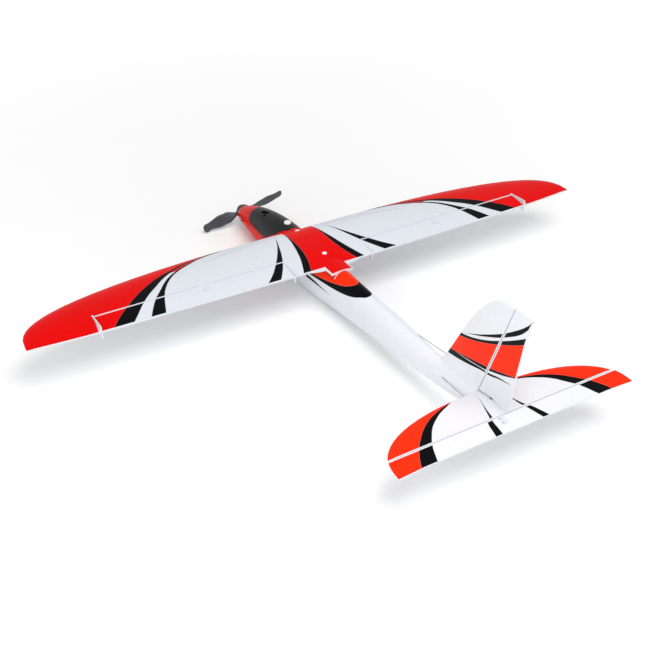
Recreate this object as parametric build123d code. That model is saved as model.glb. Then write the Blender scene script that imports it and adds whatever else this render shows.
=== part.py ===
from build123d import *
import math
import os

# Radio-controlled electric glider: moulded foam airframe, folding propeller, servo-driven controls.
# Millimetres. +X points to the nose, +Y to the left wing tip, +Z up.  The origin is under the middle
# of the overall length, on the surface that the belly rests on.

os.makedirs("parts", exist_ok=True)

# ---------------------------------------------------------------- driving dimensions
HALF_SPAN = 550.0            # centre line to wing tip
ROOT_LE_X = 211.5            # wing leading edge on the centre line
WING_TE_X = 66.0             # straight trailing edge
TIP_TE_X = 73.0              # trailing edge at the tip
TIP_SWEEP_Y = 400.0          # the trailing edge curves forward outboard of this
WING_Z = 86.4                # chord plane at the centre line
DIHEDRAL = 0.0147            # rise of the chord plane per mm of span
THICKNESS = 0.095            # of the local chord
CAMBER = 0.025               # of the local chord
TE_HALF = 1.4                # half the blunt trailing edge

NOSE_X = 418.0               # front face of the fuselage
THRUST_Z = 29.0              # propeller axis
SPINNER_TIP_X = 446.4
FOAM_WALL = 5.0
SADDLE_Z = 78.0              # the wing sits on this level
SADDLE_X = (39.0, 213.5)     # rear and front of the wing's centre block
GAP = 0.4                    # between pieces on different bodies

AILERON_Y = (81.0, 430.5)
AILERON_HINGE_X = (110.0, 106.0)   # at the inner and outer end
HINGE_DEPTH = 1.3            # hinge axis below the upper surface
END_PLATE = 2.0              # thickness of the plates at the aileron ends
END_PLATE_TOP = 11.0         # height of the outer plates above the trailing edge
END_PLATE_DROP = 12.0        # depth of all four below it
CONTROL_Y = 235.0            # aileron horn and servo station

STAB_TE_X = -446.0           # stabilizer tip corner, the rear end of the glider
STAB_CHORD = 99.0
STAB_HALF_SPAN = 212.0
STAB_Z = 86.5                # middle of its thickness
STAB_T = 5.2
ELEVATOR_HINGE_X = -411.2
ELEVATOR_TE_X = -443.5

FIN_ROOT_Z = 84.0
FIN_TOP_Z = 262.0
HINGE_FOOT = (-346.7, 86.6)  # rudder hinge line, bottom (x, z)
HINGE_HEAD = (-401.0, 262.0)
FIN_HALF_T = 3.4

PROP_RADIUS = 92.0
PROP_REST = -11.0            # angle of the left blade above the horizontal, degrees
BLADE_PIN = (429.0, 13.0)    # x, and distance from the propeller axis
BLADE_PITCH = 122.0          # advance in one turn

WIRE_R = 0.6
TUBE_R = 1.6
TUBE_BORE_R = 0.95

# Fuselage formers: x, top, bottom, half width.  The belly is cut flat at z = 0 afterwards.
FORMERS = [
    (418, 46.3, 11.7, 17.3),
    (396, 55.0, 11.2, 22.0),
    (367, 66.5, 8.4, 26.0),
    (326, 77.8, 1.5, 30.4),
    (286, 85.5, -2.0, 32.6),
    (240, 90.0, -3.0, 33.0),
    (180, 92.0, -3.0, 32.0),
    (110, 92.0, -3.0, 28.5),
    (60, 90.5, 2.5, 25.5),
    (-30, 88.5, 11.7, 21.8),
    (-131, 86.5, 23.6, 21.0),
    (-182, 85.5, 28.0, 18.0),
    (-233, 84.8, 31.5, 14.0),
    (-284, 84.3, 38.0, 11.0),
    (-335, 84.0, 45.5, 8.5),
    (-385, 83.9, 58.0, 6.0),
]

pieces = {}


# ---------------------------------------------------------------- helpers
def box_between(x0, x1, y0, y1, z0, z1):
    """Axis-aligned box from its lowest and highest corner."""
    centre = ((x0 + x1) / 2, (y0 + y1) / 2, (z0 + z1) / 2)
    return Pos(*centre) * Box(abs(x1 - x0), abs(y1 - y0), abs(z1 - z0))


def rod(start, end, radius):
    """Round bar from one point to another."""
    axis = Vector(*end) - Vector(*start)
    return extrude(Plane(origin=start, z_dir=axis) * Circle(radius), axis.length)


def ring_x(x0, x1, radius, y=0.0, z=THRUST_Z):
    """Cylinder along X."""
    return rod((x0, y, z), (x1, y, z), radius)


def side_prism(points, y0, y1):
    """Outline in the XZ plane, extruded from y0 to y1."""
    face = make_face(Polyline(*[(x, y0, z) for x, z in points], close=True))
    return extrude(face, y1 - y0, dir=(0, 1, 0))


def mirrored(shape):
    return mirror(shape, Plane.XZ)


def one(shape):
    """The main solid of a boolean result, without slivers."""
    return max(shape.solids(), key=lambda s: s.volume)


def ellipse_loft(formers, inset=0.0):
    faces = []
    for x, top, bottom, half in formers:
        plane = Plane(origin=(x, 0, (top + bottom) / 2), x_dir=(0, 1, 0), z_dir=(1, 0, 0))
        faces.append(plane * Ellipse(half - inset, (top - bottom) / 2 - inset))
    return loft(faces)


# ---------------------------------------------------------------- wing shape
def wing_chord_z(y):
    return WING_Z + DIHEDRAL * abs(y)


def wing_le(y):
    share = min(abs(y) / HALF_SPAN, 1.0)
    return TIP_TE_X + (ROOT_LE_X - TIP_TE_X) * (1 - share ** 2.2) ** (1 / 3)


def wing_te(y):
    beyond = max(abs(y) - TIP_SWEEP_Y, 0) / (HALF_SPAN - TIP_SWEEP_Y)
    return WING_TE_X + (TIP_TE_X - WING_TE_X) * beyond ** 1.5


def airfoil_z(s, chord, side):
    """Height of the upper (side=1) or lower (side=-1) surface at fraction s behind the nose."""
    root = 0.2969 * math.sqrt(s) - 0.126 * s - 0.3516 * s ** 2 + 0.2843 * s ** 3 - 0.1036 * s ** 4
    half = 5 * THICKNESS * chord * root + TE_HALF * s * min(chord / 60, 1)
    if s < 0.4:
        mean = CAMBER / 0.16 * (0.8 * s - s ** 2)
    else:
        mean = CAMBER / 0.36 * (0.2 + 0.8 * s - s ** 2)
    return mean * chord + side * half


def wing_section(y):
    le, te, z = wing_le(y), wing_te(y), wing_chord_z(y)
    chord = le - te
    fractions = [1, 0.85, 0.65, 0.45, 0.28, 0.14, 0.05, 0.012]
    upper = [(le - s * chord, y, z + airfoil_z(s, chord, 1)) for s in fractions]
    lower = [(le - s * chord, y, z + airfoil_z(s, chord, -1)) for s in reversed(fractions)]
    skin = Spline(*upper, (le, y, z), *lower)
    return make_face([skin, Line(lower[-1], upper[0])])


def wing_solid():
    stations = [0, 60, 120, 180, 235, 285, 330, 370, 405, 435, 460, 482, 500, 515, 527, 536, 543, 547.5]
    left = loft([wing_section(y) for y in [*stations, HALF_SPAN - 0.05]], ruled=True)
    return left + mirrored(left)


def hinge_point(y):
    """Aileron hinge axis, just under the wing's upper surface."""
    inner, outer = AILERON_Y
    x = AILERON_HINGE_X[0] + (AILERON_HINGE_X[1] - AILERON_HINGE_X[0]) * (y - inner) / (outer - inner)
    le, te = wing_le(y), wing_te(y)
    s = (le - x) / (le - te)
    return x, wing_chord_z(y) + airfoil_z(s, le - te, 1) - HINGE_DEPTH


def along_hinge(profile, y0, y1):
    """Profile given round the hinge axis, extruded parallel to that axis."""
    (xa, za), (xb, zb) = hinge_point(y0), hinge_point(y1)
    face = make_face(Polyline(*[(xa + dx, y0, za + dz) for dx, dz in profile], close=True))
    run = Vector(xb - xa, y1 - y0, zb - za)
    return extrude(face, run.length, dir=run)


# ---------------------------------------------------------------- fuselage, hatch
outer_hull = ellipse_loft(FORMERS) - box_between(-500, 500, -60, 60, -20, 0)
shell_cuts = [
    ellipse_loft(FORMERS[2:14], FOAM_WALL),
    box_between(SADDLE_X[0] - 0.3, SADDLE_X[1] + 0.3, -60, 60, SADDLE_Z - 0.3, 120),
    ring_x(375, NOSE_X + 1, 15.7),
    ring_x(366, 375, 17.5),
]


def hatch_outline(grow):
    """Side outline of the canopy hatch: level sill, round front, back edge rising to the wing."""
    sill, front, back = 50 - grow, 361 + grow, SADDLE_X[1] + 0.5 + GAP - grow
    arc = [(front - 16 * (1 - math.sin(a)), sill + 16 * (1 - math.cos(a)))
           for a in [math.radians(15 * i) for i in range(7)]]
    return [(276 - grow, sill), *arc, (front, 110), (back, 110), (back, 89.5 - grow),
            (226 - grow, 84.8 - grow), (240 - grow, 73.6 - grow)]


def build_hatch(outer):
    block = outer & side_prism(hatch_outline(0), -60, 60)
    cavity = ellipse_loft(FORMERS[1:10], 3.2) & side_prism(hatch_outline(0), -60, 60)
    lid = one(block - (cavity & box_between(224, 357, -60, 60, 0, 120)))
    lid -= box_between(306, 312, 10, 16, 60, 90)
    return one(lid)


shell_cuts.append(side_prism(hatch_outline(GAP), -60, 60))
hatch = build_hatch(outer_hull)

# Air slots through both sides of the nose into the motor bore
for side in (1, -1):
    air_slot = Pos(394, side * 22, 33.2) * Rot(0, 9, 0) * Box(27, 20, 3.8)
    shell_cuts.append(air_slot)

# Cooling scoop: a shallow hooded recess on the front left of the hatch
scoop = Pos(318, 6, 79) * Rot(0, 12, 12) * Box(22, 8, 9)
hatch -= scoop
KNOB_X = 239.0
knob_seat_z = 84.0
hatch -= rod((KNOB_X, 0, knob_seat_z), (KNOB_X, 0, 100), 3.0)
knob = rod((KNOB_X, 0, knob_seat_z), (KNOB_X, 0, 91), 3.0)
knob += Pos(KNOB_X, 0, 91.9) * Cylinder(6.6, 3.0)
knob = fillet(knob.edges().filter_by(GeomType.CIRCLE).sort_by(Axis.Z)[-1:], 1.2)
hatch -= Pos(KNOB_X, 0, 94.4) * Cylinder(6.6, 8.0)
pieces["hatch_knob"] = one(knob)

# Bulkhead behind the battery bay, with the magnet that holds the hatch
bulkhead = (ellipse_loft(FORMERS[3:9], FOAM_WALL - 1.5) & box_between(222, 225, -60, 60, 12, 76))
bulkhead -= box_between(220, 227, -12, 12, 24, 52)
body_magnet = rod((225, 0, 66), (227, 0, 66), 5)
hatch_magnet = rod((227.8, 0, 66), (229.8, 0, 66), 5)
magnet_arm = box_between(229.8, 232.8, -4, 4, 62, 90)
hatch += magnet_arm & outer_hull
pieces["hatch_bulkhead"] = one(bulkhead)
pieces["bulkhead_magnet"] = body_magnet
pieces["hatch_magnet"] = hatch_magnet

# ---------------------------------------------------------------- wing and ailerons
wing = wing_solid()
wing += outer_hull & box_between(*SADDLE_X, -60, 60, SADDLE_Z, 120)
# Gently arched tongue behind the trailing edge, blending into the wing in front of it
ARCH_R = 97.0
arch = rod((30, 0, 90.6 - ARCH_R), (220, 0, 92.4 - ARCH_R), ARCH_R)
wing += arch & box_between(SADDLE_X[0], 96, -22, 22, 85.6, 100)
edge_fairing = [(72, 52), (WING_TE_X, 52), (63.6, 43), (60.6, 33), (59.4, 20)]
fairing = make_face(Polyline(*edge_fairing, *[(x, -y) for x, y in reversed(edge_fairing)], close=True))
wing += Pos(0, 0, 85.6) * extrude(fairing, 2.6)
full_wing = wing


def end_plate(y0, front, top):
    """Tapering plate on an aileron's end, from the hinge to its full height at the edge."""
    hinge_x, hinge_z = hinge_point(y0)
    te_z = wing_chord_z(y0)
    outline = [(hinge_x + 2, hinge_z + front), (WING_TE_X, te_z + top),
               (WING_TE_X, te_z - END_PLATE_DROP), (hinge_x + 2, hinge_z - 7.2)]
    return side_prism(outline, y0, y0 + END_PLATE)


def end_wedge(y0, front, top, spread):
    """Sloping flank from a plate's upper edge down to the wing beside it."""
    hinge_x, hinge_z = hinge_point(y0)
    te_z = wing_chord_z(y0)
    small = [(y0, hinge_z - 1.0), (y0, hinge_z + front), (y0 + math.copysign(0.6, spread), hinge_z - 1.0)]
    large = [(y0, te_z - 1.0), (y0, te_z + top), (y0 + spread, te_z - 1.0)]
    faces = []
    for x, outline in ((hinge_x + 1, small), (WING_TE_X, large)):
        faces.append(make_face(Polyline(*[(x, y, z) for y, z in outline], close=True)))
    return loft(faces, ruled=True)


inner_y = AILERON_Y[0] - 0.5
outer_y = AILERON_Y[1] + 0.5
inner_plate = one(end_plate(inner_y - END_PLATE, 1.4, 5.0) + end_wedge(inner_y - 0.5, 1.2, 4.6, -9.0))
outer_plate = one(end_plate(outer_y, 3.2, END_PLATE_TOP) + end_wedge(outer_y + 0.5, 3.0, END_PLATE_TOP - 0.4, 6.5))
end_plates = [inner_plate, outer_plate, mirrored(inner_plate), mirrored(outer_plate)]
for plate in end_plates:
    wing -= plate
pieces["aileron_end_plates"] = Compound(children=end_plates)

bay = along_hinge([(0.2, -20), (0.2, 20), (-90, 20), (-90, -20)], AILERON_Y[0] - 0.5, AILERON_Y[1] + 0.5)
chevron = [(-0.2, 0), (-0.2 - 0.46 * 12, 12), (-90, 12), (-90, -12), (-0.2 - 0.46 * 12, -12)]
aileron_cut = along_hinge(chevron, *AILERON_Y)
wing -= bay
wing -= mirrored(bay)
aileron = one(full_wing & aileron_cut)

SPAR_Z = 91.5
SPAR_X = 165.0
spar = rod((SPAR_X, -300, SPAR_Z), (SPAR_X, 300, SPAR_Z), 2.5)
wing -= spar
pieces["wing_spar"] = spar - rod((SPAR_X, -301, SPAR_Z), (SPAR_X, 301, SPAR_Z), 1.5)

# Wing screws, with the threaded plates that they pull on
SCREWS = [(201.6, 89.6), (102.4, 92.0)]      # x, underside of the head
screws, plates = [], []
for x, z in SCREWS:
    screw = rod((x, 0, 60), (x, 0, z), 2.0) + rod((x, 0, z), (x, 0, z + 2.2), 4.3)
    screw -= box_between(x - 3, x + 3, -0.6, 0.6, z + 1.2, z + 3)
    screws.append(screw)
    wing -= rod((x, 0, 70), (x, 0, z), 2.0) + rod((x, 0, z), (x, 0, z + 12), 4.3)
    half = 26.0 if x > 150 else 22.5
    plate = box_between(x - 11, x + 11, -half, half, 65, 68) - rod((x, 0, 64), (x, 0, 69), 2.0)
    plates.append(plate)
    shell_cuts.append(box_between(x - 11, x + 11, -half, half, 65, 68))
pieces["wing_screws"] = Compound(children=screws)
pieces["wing_screw_plates"] = Compound(children=plates)

# ---------------------------------------------------------------- servos
SERVO = dict(length=20.0, width=8.5, height=20.0, flange=27.0, flange_z=13.0)


def servo_case():
    """Micro servo, output shaft up through the origin, case towards +X, top of the case at z = 0."""
    case = box_between(-5, SERVO["length"] - 5, -4.25, 4.25, -SERVO["height"], 0)
    flange = box_between(-8.5, SERVO["flange"] - 8.5, -4.25, 4.25, -7.0, -5.4)
    for x in (-6.8, SERVO["flange"] - 10.2):
        flange -= rod((x, 0, -8), (x, 0, -4), 0.9)
    gear_cover = rod((0, 0, 0), (0, 0, 2.4), 4.25) + rod((5, 0, 0), (5, 0, 2.4), 2.4)
    return one(case + flange + gear_cover + rod((0, 0, 2.4), (0, 0, 5.4), 2.0))


def servo_arm(length, reach):
    """Output arm along +Y.  Its slot lets the straight wire keep clear while the arm swings."""
    arm = rod((0, 0, 2.7), (0, 0, 6.2), 3.3)
    outline = Polyline((-2.9, 0), (-2.1, reach), (2.1, reach), (2.9, 0), close=True)
    arm += extrude(Pos(0, 0, 3.4) * make_face(outline), 1.6)
    arm += rod((0, reach, 3.4), (0, reach, 5.0), 2.1)
    arm -= rod((0, 0, 2), (0, 0, 5.4), 2.05)
    slot_end = reach - 0.9
    arm -= box_between(-1.05, 1.05, length - 0.95, slot_end, 3, 6)
    return one(arm)


def wire_with_ends(front, back, front_leg, back_leg):
    """Straight control wire with a square bend at each end; the legs pass through the arms."""
    body = rod(front, back, WIRE_R)
    for point, leg in ((front, front_leg), (back, back_leg)):
        tip = tuple(p + d for p, d in zip(point, leg))
        body += rod(point, tip, WIRE_R) + Pos(*point) * Sphere(WIRE_R)
    return one(body)


# Tail servos stand in a tray under the wing
TRAY_Z = 46.0
SERVO_TOP = TRAY_Z + 7.0
ELEVATOR_SERVO = (88.0, 15.5)
RUDDER_SERVO = (48.0, -13.6)
ELEVATOR_ARM = 11.5
RUDDER_ARM = 10.0
WIRE_Z = SERVO_TOP + 6.6
tray = box_between(28, 118, -24, 24, TRAY_Z - 2, TRAY_Z) & ellipse_loft(FORMERS[5:11], FOAM_WALL - 2)
shell_cuts.append(tray)
tray -= box_between(118 - 8, 119, -12, 12, TRAY_Z - 3, TRAY_Z + 1)
elevator_servo = Pos(*ELEVATOR_SERVO, SERVO_TOP) * servo_case()
rudder_servo = Pos(*RUDDER_SERVO, SERVO_TOP) * servo_case()
for x, y in (ELEVATOR_SERVO, RUDDER_SERVO):
    tray -= box_between(x - 5.2, x + 15.2, y - 4.45, y + 4.45, TRAY_Z - 3, TRAY_Z + 1)
tray = one(tray)
servo_screws = []
for x, y in (ELEVATOR_SERVO, RUDDER_SERVO):
    for dx in (-6.8, SERVO["flange"] - 10.2):
        shank = rod((x + dx, y, TRAY_Z - 2), (x + dx, y, TRAY_Z + 1.6), 0.9)
        tray -= rod((x + dx, y, TRAY_Z - 3), (x + dx, y, TRAY_Z + 1), 0.9)
        servo_screws.append(shank + rod((x + dx, y, TRAY_Z + 1.6), (x + dx, y, TRAY_Z + 2.8), 1.7))
pieces["servo_tray"] = tray
pieces["servo_screws"] = Compound(children=servo_screws)
pieces["elevator_servo"] = elevator_servo
pieces["rudder_servo"] = rudder_servo
pieces["elevator_servo_arm"] = Pos(*ELEVATOR_SERVO, SERVO_TOP) * Rot(0, 0, 180) * servo_arm(ELEVATOR_ARM, 15.2)
pieces["rudder_servo_arm"] = Pos(*RUDDER_SERVO, SERVO_TOP) * servo_arm(RUDDER_ARM, 13.4)

# ---------------------------------------------------------------- tail
def lame_x(y):
    """Stabilizer leading edge, a Lame curve that ends in the tip corner."""
    share = min(abs(y) / STAB_HALF_SPAN, 1.0)
    return STAB_TE_X + STAB_CHORD * (1 - share ** 2.5) ** 0.4


def stab_section(y):
    x0, x1 = ELEVATOR_HINGE_X + 0.2, lame_x(y)
    run = x1 - x0
    half = STAB_T / 2 * min(1.0, 0.35 + run / 30)
    points = [(x0, half), (x0 + 0.5 * run, half * 1.0), (x0 + 0.86 * run, half * 0.72), (x1, 0)]
    upper = [(x, y, STAB_Z + z) for x, z in points]
    lower = [(x, y, STAB_Z - z) for x, z in reversed(points[:-1])]
    return make_face([Spline(*upper, *lower), Line(lower[-1], upper[0])])


stab_stations = [0, 40, 70, 95, 115, 135, 150, 163, 174, 183, 190, 196, 200, 203, 205.3]
stab_half = loft([stab_section(y) for y in stab_stations], ruled=True)
stabilizer = stab_half + mirrored(stab_half)

# Elevator: plan outline cut from a wedge that thins to the trailing edge
tip_ys = [205.75, 207.5, 209.3, 210.8, 211.6, 212.0]
tip = [(lame_x(y) if y < STAB_HALF_SPAN else STAB_TE_X, y) for y in tip_ys]
edge = [(ELEVATOR_TE_X, 165.0), (ELEVATOR_TE_X, 0.0)]
half_plan = [(ELEVATOR_HINGE_X + 1, 0.0), (ELEVATOR_HINGE_X + 1, 205.3), *tip, *edge]
plan = make_face(Polyline(*[(x, y, STAB_Z - 4) for x, y in half_plan], close=True))
half_elevator = extrude(plan, 8, dir=(0, 0, 1))
hinge_half = STAB_T / 2
wedge = side_prism([(ELEVATOR_HINGE_X - 0.2, STAB_Z), (ELEVATOR_HINGE_X - 1.5, STAB_Z + hinge_half),
                    (STAB_TE_X - 1, STAB_Z + 0.9), (STAB_TE_X - 1, STAB_Z - 0.9),
                    (ELEVATOR_HINGE_X - 1.5, STAB_Z - hinge_half)], 0, 213)
half_elevator = half_elevator & wedge
elevator = one(half_elevator + mirrored(half_elevator))


def hinge_x(z):
    """x of the slanted rudder hinge line at height z."""
    (x0, z0), (x1, z1) = HINGE_FOOT, HINGE_HEAD
    return x0 + (x1 - x0) * (z - z0) / (z1 - z0)


# Fin: level sections from the hinge post to the leading edge
FIN_LE = [(79.0, -238.0), (85.0, -246.5), (92.0, -256.0), (102.5, -264.4), (130.0, -278.2), (157.4, -292.1),
          (189.6, -309.0), (205.5, -318.4), (219.5, -328.0), (231.0, -337.2), (241.2, -347.0),
          (249.0, -356.0), (255.0, -365.0), (259.5, -376.0), (FIN_TOP_Z, -388.0)]


def fin_section(z, le):
    x0 = hinge_x(z) + 0.2
    run = le - x0
    half = FIN_HALF_T * (1.08 - 0.0016 * (z - FIN_ROOT_Z))
    points = [(x0, half), (x0 + 0.45 * run, half * 1.15), (x0 + 0.85 * run, half * 0.75), (le, 0)]
    upper = [(x, y, z) for x, y in points]
    lower = [(x, -y, z) for x, y in reversed(points[:-1])]
    return make_face([Spline(*upper, *lower), Line(lower[-1], upper[0])])


fin = loft([fin_section(z, le) for z, le in FIN_LE], ruled=True)
fin -= box_between(-420, -347.5, -20, 20, 60, STAB_Z + STAB_T / 2)
fin_tab = box_between(-338, -265, -2, 2, 72, 86)
fin = (fin - outer_hull) + fin_tab
shell_cuts.append(fin_tab)

# Rudder: side outline cut from a wedge that thins to the trailing edge
RUDDER_TE = [(-416.0, 98.5), (-418.7, 153.7), (-422.4, 181.3), (-427.0, 218.7), (-430.0, 236.0),
             (-431.5, 247.0), (-434.5, 256.0), (-439.0, 263.6)]
te_curve = Spline(*[(x, -10, z) for x, z in RUDDER_TE])
foot = (hinge_x(91) + 2, -10, 91.0)
head = (hinge_x(262) + 2, -10, 262.8)
outline = [te_curve, Line((-439.0, -10, 263.6), head), Line(head, foot), Line(foot, (-416.0, -10, 98.5))]
rudder = extrude(make_face(outline), 20, dir=(0, 1, 0))


def rudder_level(z):
    x0 = hinge_x(z)
    half = FIN_HALF_T * (1.08 - 0.0016 * (z - FIN_ROOT_Z))
    return make_face(Polyline((x0 - 0.2, 0, z), (x0 - 1.9, half, z), (x0 - 80, 0.3, z),
                              (x0 - 80, -0.3, z), (x0 - 1.9, -half, z), close=True))


rudder = one(rudder & loft([rudder_level(80), rudder_level(275)], ruled=True))

# ---------------------------------------------------------------- horns and control wires
HORN_T = 1.8


def horn_plate(root, tip, slot_from, slot_to):
    """Horn as an outline in its own plane: u along the surface, v away from it, slot along v."""
    plate = make_face(Polyline(*root, *tip, close=True))
    slot = Pos(0, (slot_from + slot_to) / 2) * Rectangle(2.1, slot_to - slot_from)
    return plate - slot


# Elevator horn hangs under the elevator, left of the boom
ELEVATOR_HORN_Y = 16.0
ELEVATOR_HORN_R = 19.4
elevator_hole_z = STAB_Z - ELEVATOR_HORN_R
flat = horn_plate([(3.5, 2.2), (17, 2.2)], [(2.4, ELEVATOR_HORN_R + 3.2), (-2.4, ELEVATOR_HORN_R + 3.2)],
                  ELEVATOR_HORN_R - 1.0, ELEVATOR_HORN_R + 1.9)
horn_plane = Plane(origin=(ELEVATOR_HINGE_X, ELEVATOR_HORN_Y, STAB_Z), x_dir=(-1, 0, 0), z_dir=(0, -1, 0))
elevator_horn = extrude(horn_plane * flat, HORN_T / 2, both=True)
ex = ELEVATOR_HINGE_X - 10.2
horn_base = box_between(ex - 7.5, ex + 7.5, ELEVATOR_HORN_Y - 5, ELEVATOR_HORN_Y + 5,
                        STAB_Z - 4.2, STAB_Z - 2.0)
back_plate = box_between(ex - 7.5, ex + 7.5, ELEVATOR_HORN_Y - 5, ELEVATOR_HORN_Y + 5,
                         STAB_Z + 2.0, STAB_Z + 2.8)
elevator_horn = one((elevator_horn + horn_base) - elevator)
pieces["elevator_horn"] = elevator_horn
pieces["elevator_horn_back_plate"] = one(back_plate - elevator)
horn_screws = []
for dx in (-4.5, 4.5):
    shaft = rod((ex + dx, ELEVATOR_HORN_Y + 3, STAB_Z - 5.0), (ex + dx, ELEVATOR_HORN_Y + 3, STAB_Z + 2.8), 0.8)
    head_part = rod((ex + dx, ELEVATOR_HORN_Y + 3, STAB_Z + 2.8), (ex + dx, ELEVATOR_HORN_Y + 3, STAB_Z + 3.3), 1.2)
    horn_screws.append(shaft + head_part)
for bolt in horn_screws:
    for name in ("elevator_horn", "elevator_horn_back_plate"):
        pieces[name] = one(pieces[name] - bolt)
    elevator = one(elevator - bolt)
pieces["elevator_horn_screws"] = Compound(children=horn_screws)
pieces["elevator"] = elevator

elevator_wire_y = ELEVATOR_SERVO[1] - ELEVATOR_ARM
elevator_front = (ELEVATOR_SERVO[0], elevator_wire_y, WIRE_Z)
elevator_back = (ELEVATOR_HINGE_X, ELEVATOR_HORN_Y - 2.0, elevator_hole_z)
pieces["elevator_pushrod"] = wire_with_ends(elevator_front, elevator_back, (0, 0, -4.8), (0, 4.2, 0))

# Rudder horn stands out to the right, above the stabilizer
RUDDER_HORN_R = 13.0
RUDDER_HORN_Z = 101.5
rudder_hole_x = hinge_x(98)
horn_outline = [(rudder_hole_x - 13, -1.5), (rudder_hole_x - 5, -1.5), (rudder_hole_x - 5, -5.6),
                (rudder_hole_x + 2.4, -11.5), (rudder_hole_x + 2.4, -17.0), (rudder_hole_x - 2.4, -17.0)]
horn_face = make_face(Polyline(*[(x, y, RUDDER_HORN_Z) for x, y in horn_outline], close=True))
rudder_horn = extrude(horn_face, HORN_T, dir=(0, 0, 1))
rudder_horn -= box_between(rudder_hole_x - 1.05, rudder_hole_x + 1.05, -15.6, -12.0, 95, 110)
rudder_horn -= rudder
pieces["rudder_horn"] = one(rudder_horn)
pieces["rudder"] = rudder

rudder_front = (RUDDER_SERVO[0], RUDDER_SERVO[1] + RUDDER_ARM, WIRE_Z)
rudder_back = (rudder_hole_x, -RUDDER_HORN_R, 98.0)
pieces["rudder_pushrod"] = wire_with_ends(rudder_front, rudder_back, (0, 0, -4.8), (0, 0, 8.0))


def point_on(start, end, x):
    """Point of the line from start to end at the given x."""
    share = (x - start[0]) / (end[0] - start[0])
    return tuple(s + (e - s) * share for s, e in zip(start, end))


def guide_tube(front, back, x0, x1):
    a, b = point_on(front, back, x0), point_on(front, back, x1)
    return rod(a, b, TUBE_R), rod(a, b, TUBE_R) - rod(a, b, TUBE_BORE_R)


tubes = []
wire_paths = [(elevator_front, elevator_back, 66, -272), (rudder_front, rudder_back, 30, -176)]
for front, back, x0, x1 in wire_paths:
    solid_tube, tube = guide_tube(front, back, x0, x1)
    tubes.append(one(tube))
    shell_cuts.append(solid_tube)
    shell_cuts.append(rod(point_on(front, back, x1), point_on(front, back, x1 - 60), TUBE_BORE_R + 0.2))
pieces["pushrod_tubes"] = Compound(children=tubes)

# Ailerons, their horns, servos and wires: built for the left side and mirrored
AILERON_HORN_R = 14.0
AILERON_ARM = 10.0
ax, az = hinge_point(CONTROL_Y)
horn_root = [(ax - 4.5, az - 7.4), (ax - 5, az - 4.0), (ax - 20, az - 4.0), (ax - 20, az - 7.4)]
horn_tip = [(ax - 2.6, az - AILERON_HORN_R - 3.6), (ax + 2.4, az - AILERON_HORN_R - 3.6),
            (ax + 2.4, az - AILERON_HORN_R + 1.5)]
aileron_horn = side_prism([*horn_root, *horn_tip], CONTROL_Y, CONTROL_Y + HORN_T)
aileron_horn -= box_between(ax - 1.05, ax + 1.05, CONTROL_Y - 1, CONTROL_Y + 3,
                            az - AILERON_HORN_R - 2.2, az - AILERON_HORN_R + 1.2)
aileron_horn += box_between(ax - 20, ax - 7, CONTROL_Y - 4, CONTROL_Y + 6, az - 8.2, az - 4)
aileron_horn = one(aileron_horn - aileron)
top_plate = box_between(ax - 20, ax - 7, CONTROL_Y - 4, CONTROL_Y + 6, az - 3, az + 0.9)
top_plate = one(top_plate - aileron)

servo_x, servo_z = 140.0, az + AILERON_ARM - AILERON_HORN_R
servo_frame = Plane(origin=(servo_x, CONTROL_Y - 2.6, servo_z), x_dir=(1, 0, 0), z_dir=(0, 1, 0))
aileron_servo = servo_frame.location * servo_case()
aileron_arm = Pos(servo_x, CONTROL_Y - 2.6, servo_z) * Rot(-90, 0, 0) * servo_arm(AILERON_ARM, 13.2)
wire_y = CONTROL_Y + 3.4
aileron_front = (servo_x, wire_y, az - AILERON_HORN_R)
aileron_back = (ax, wire_y, az - AILERON_HORN_R)
aileron_wire = wire_with_ends(aileron_front, aileron_back, (0, -4.6, 0), (0, -4.6, 0))

pocket = box_between(servo_x - 9, servo_x + 19.0, CONTROL_Y - 23.1, CONTROL_Y - 2.4,
                     servo_z - 30, servo_z + 4.4)
pocket += box_between(servo_x - 9.5, servo_x + 9.5, CONTROL_Y - 2.5, CONTROL_Y + 7,
                      servo_z - 30, servo_z + 4.6)
for side, flip in (("left", lambda s: s), ("right", mirrored)):
    wing -= flip(pocket)
    pieces["aileron_" + side] = flip(aileron)
    pieces["aileron_horn_" + side] = flip(aileron_horn)
    pieces["aileron_back_plate_" + side] = flip(top_plate)
    pieces["aileron_servo_" + side] = flip(aileron_servo)
    pieces["aileron_servo_arm_" + side] = flip(aileron_arm)
    pieces["aileron_pushrod_" + side] = flip(aileron_wire)
pieces["wing"] = one(wing)

# ---------------------------------------------------------------- tail joint and tail screw
seat_z = STAB_Z - STAB_T / 2 - 0.25
stab_seat = box_between(-420, -346.3, -60, 60, seat_z, 120)
shell_cuts.append(stab_seat)
TAIL_SCREW_X = -374.0
screw_top = STAB_Z + STAB_T / 2 + 0.25
tail_screw = rod((TAIL_SCREW_X, 0, 66), (TAIL_SCREW_X, 0, screw_top), 1.25)
stabilizer -= tail_screw
shell_cuts.append(tail_screw)
tail_screw += rod((TAIL_SCREW_X, 0, screw_top), (TAIL_SCREW_X, 0, screw_top + 1.3), 2.6)
pieces["tail_screw"] = tail_screw
stabilizer -= fin
pieces["stabilizer"] = one(stabilizer)
pieces["fin"] = one(fin)

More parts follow.
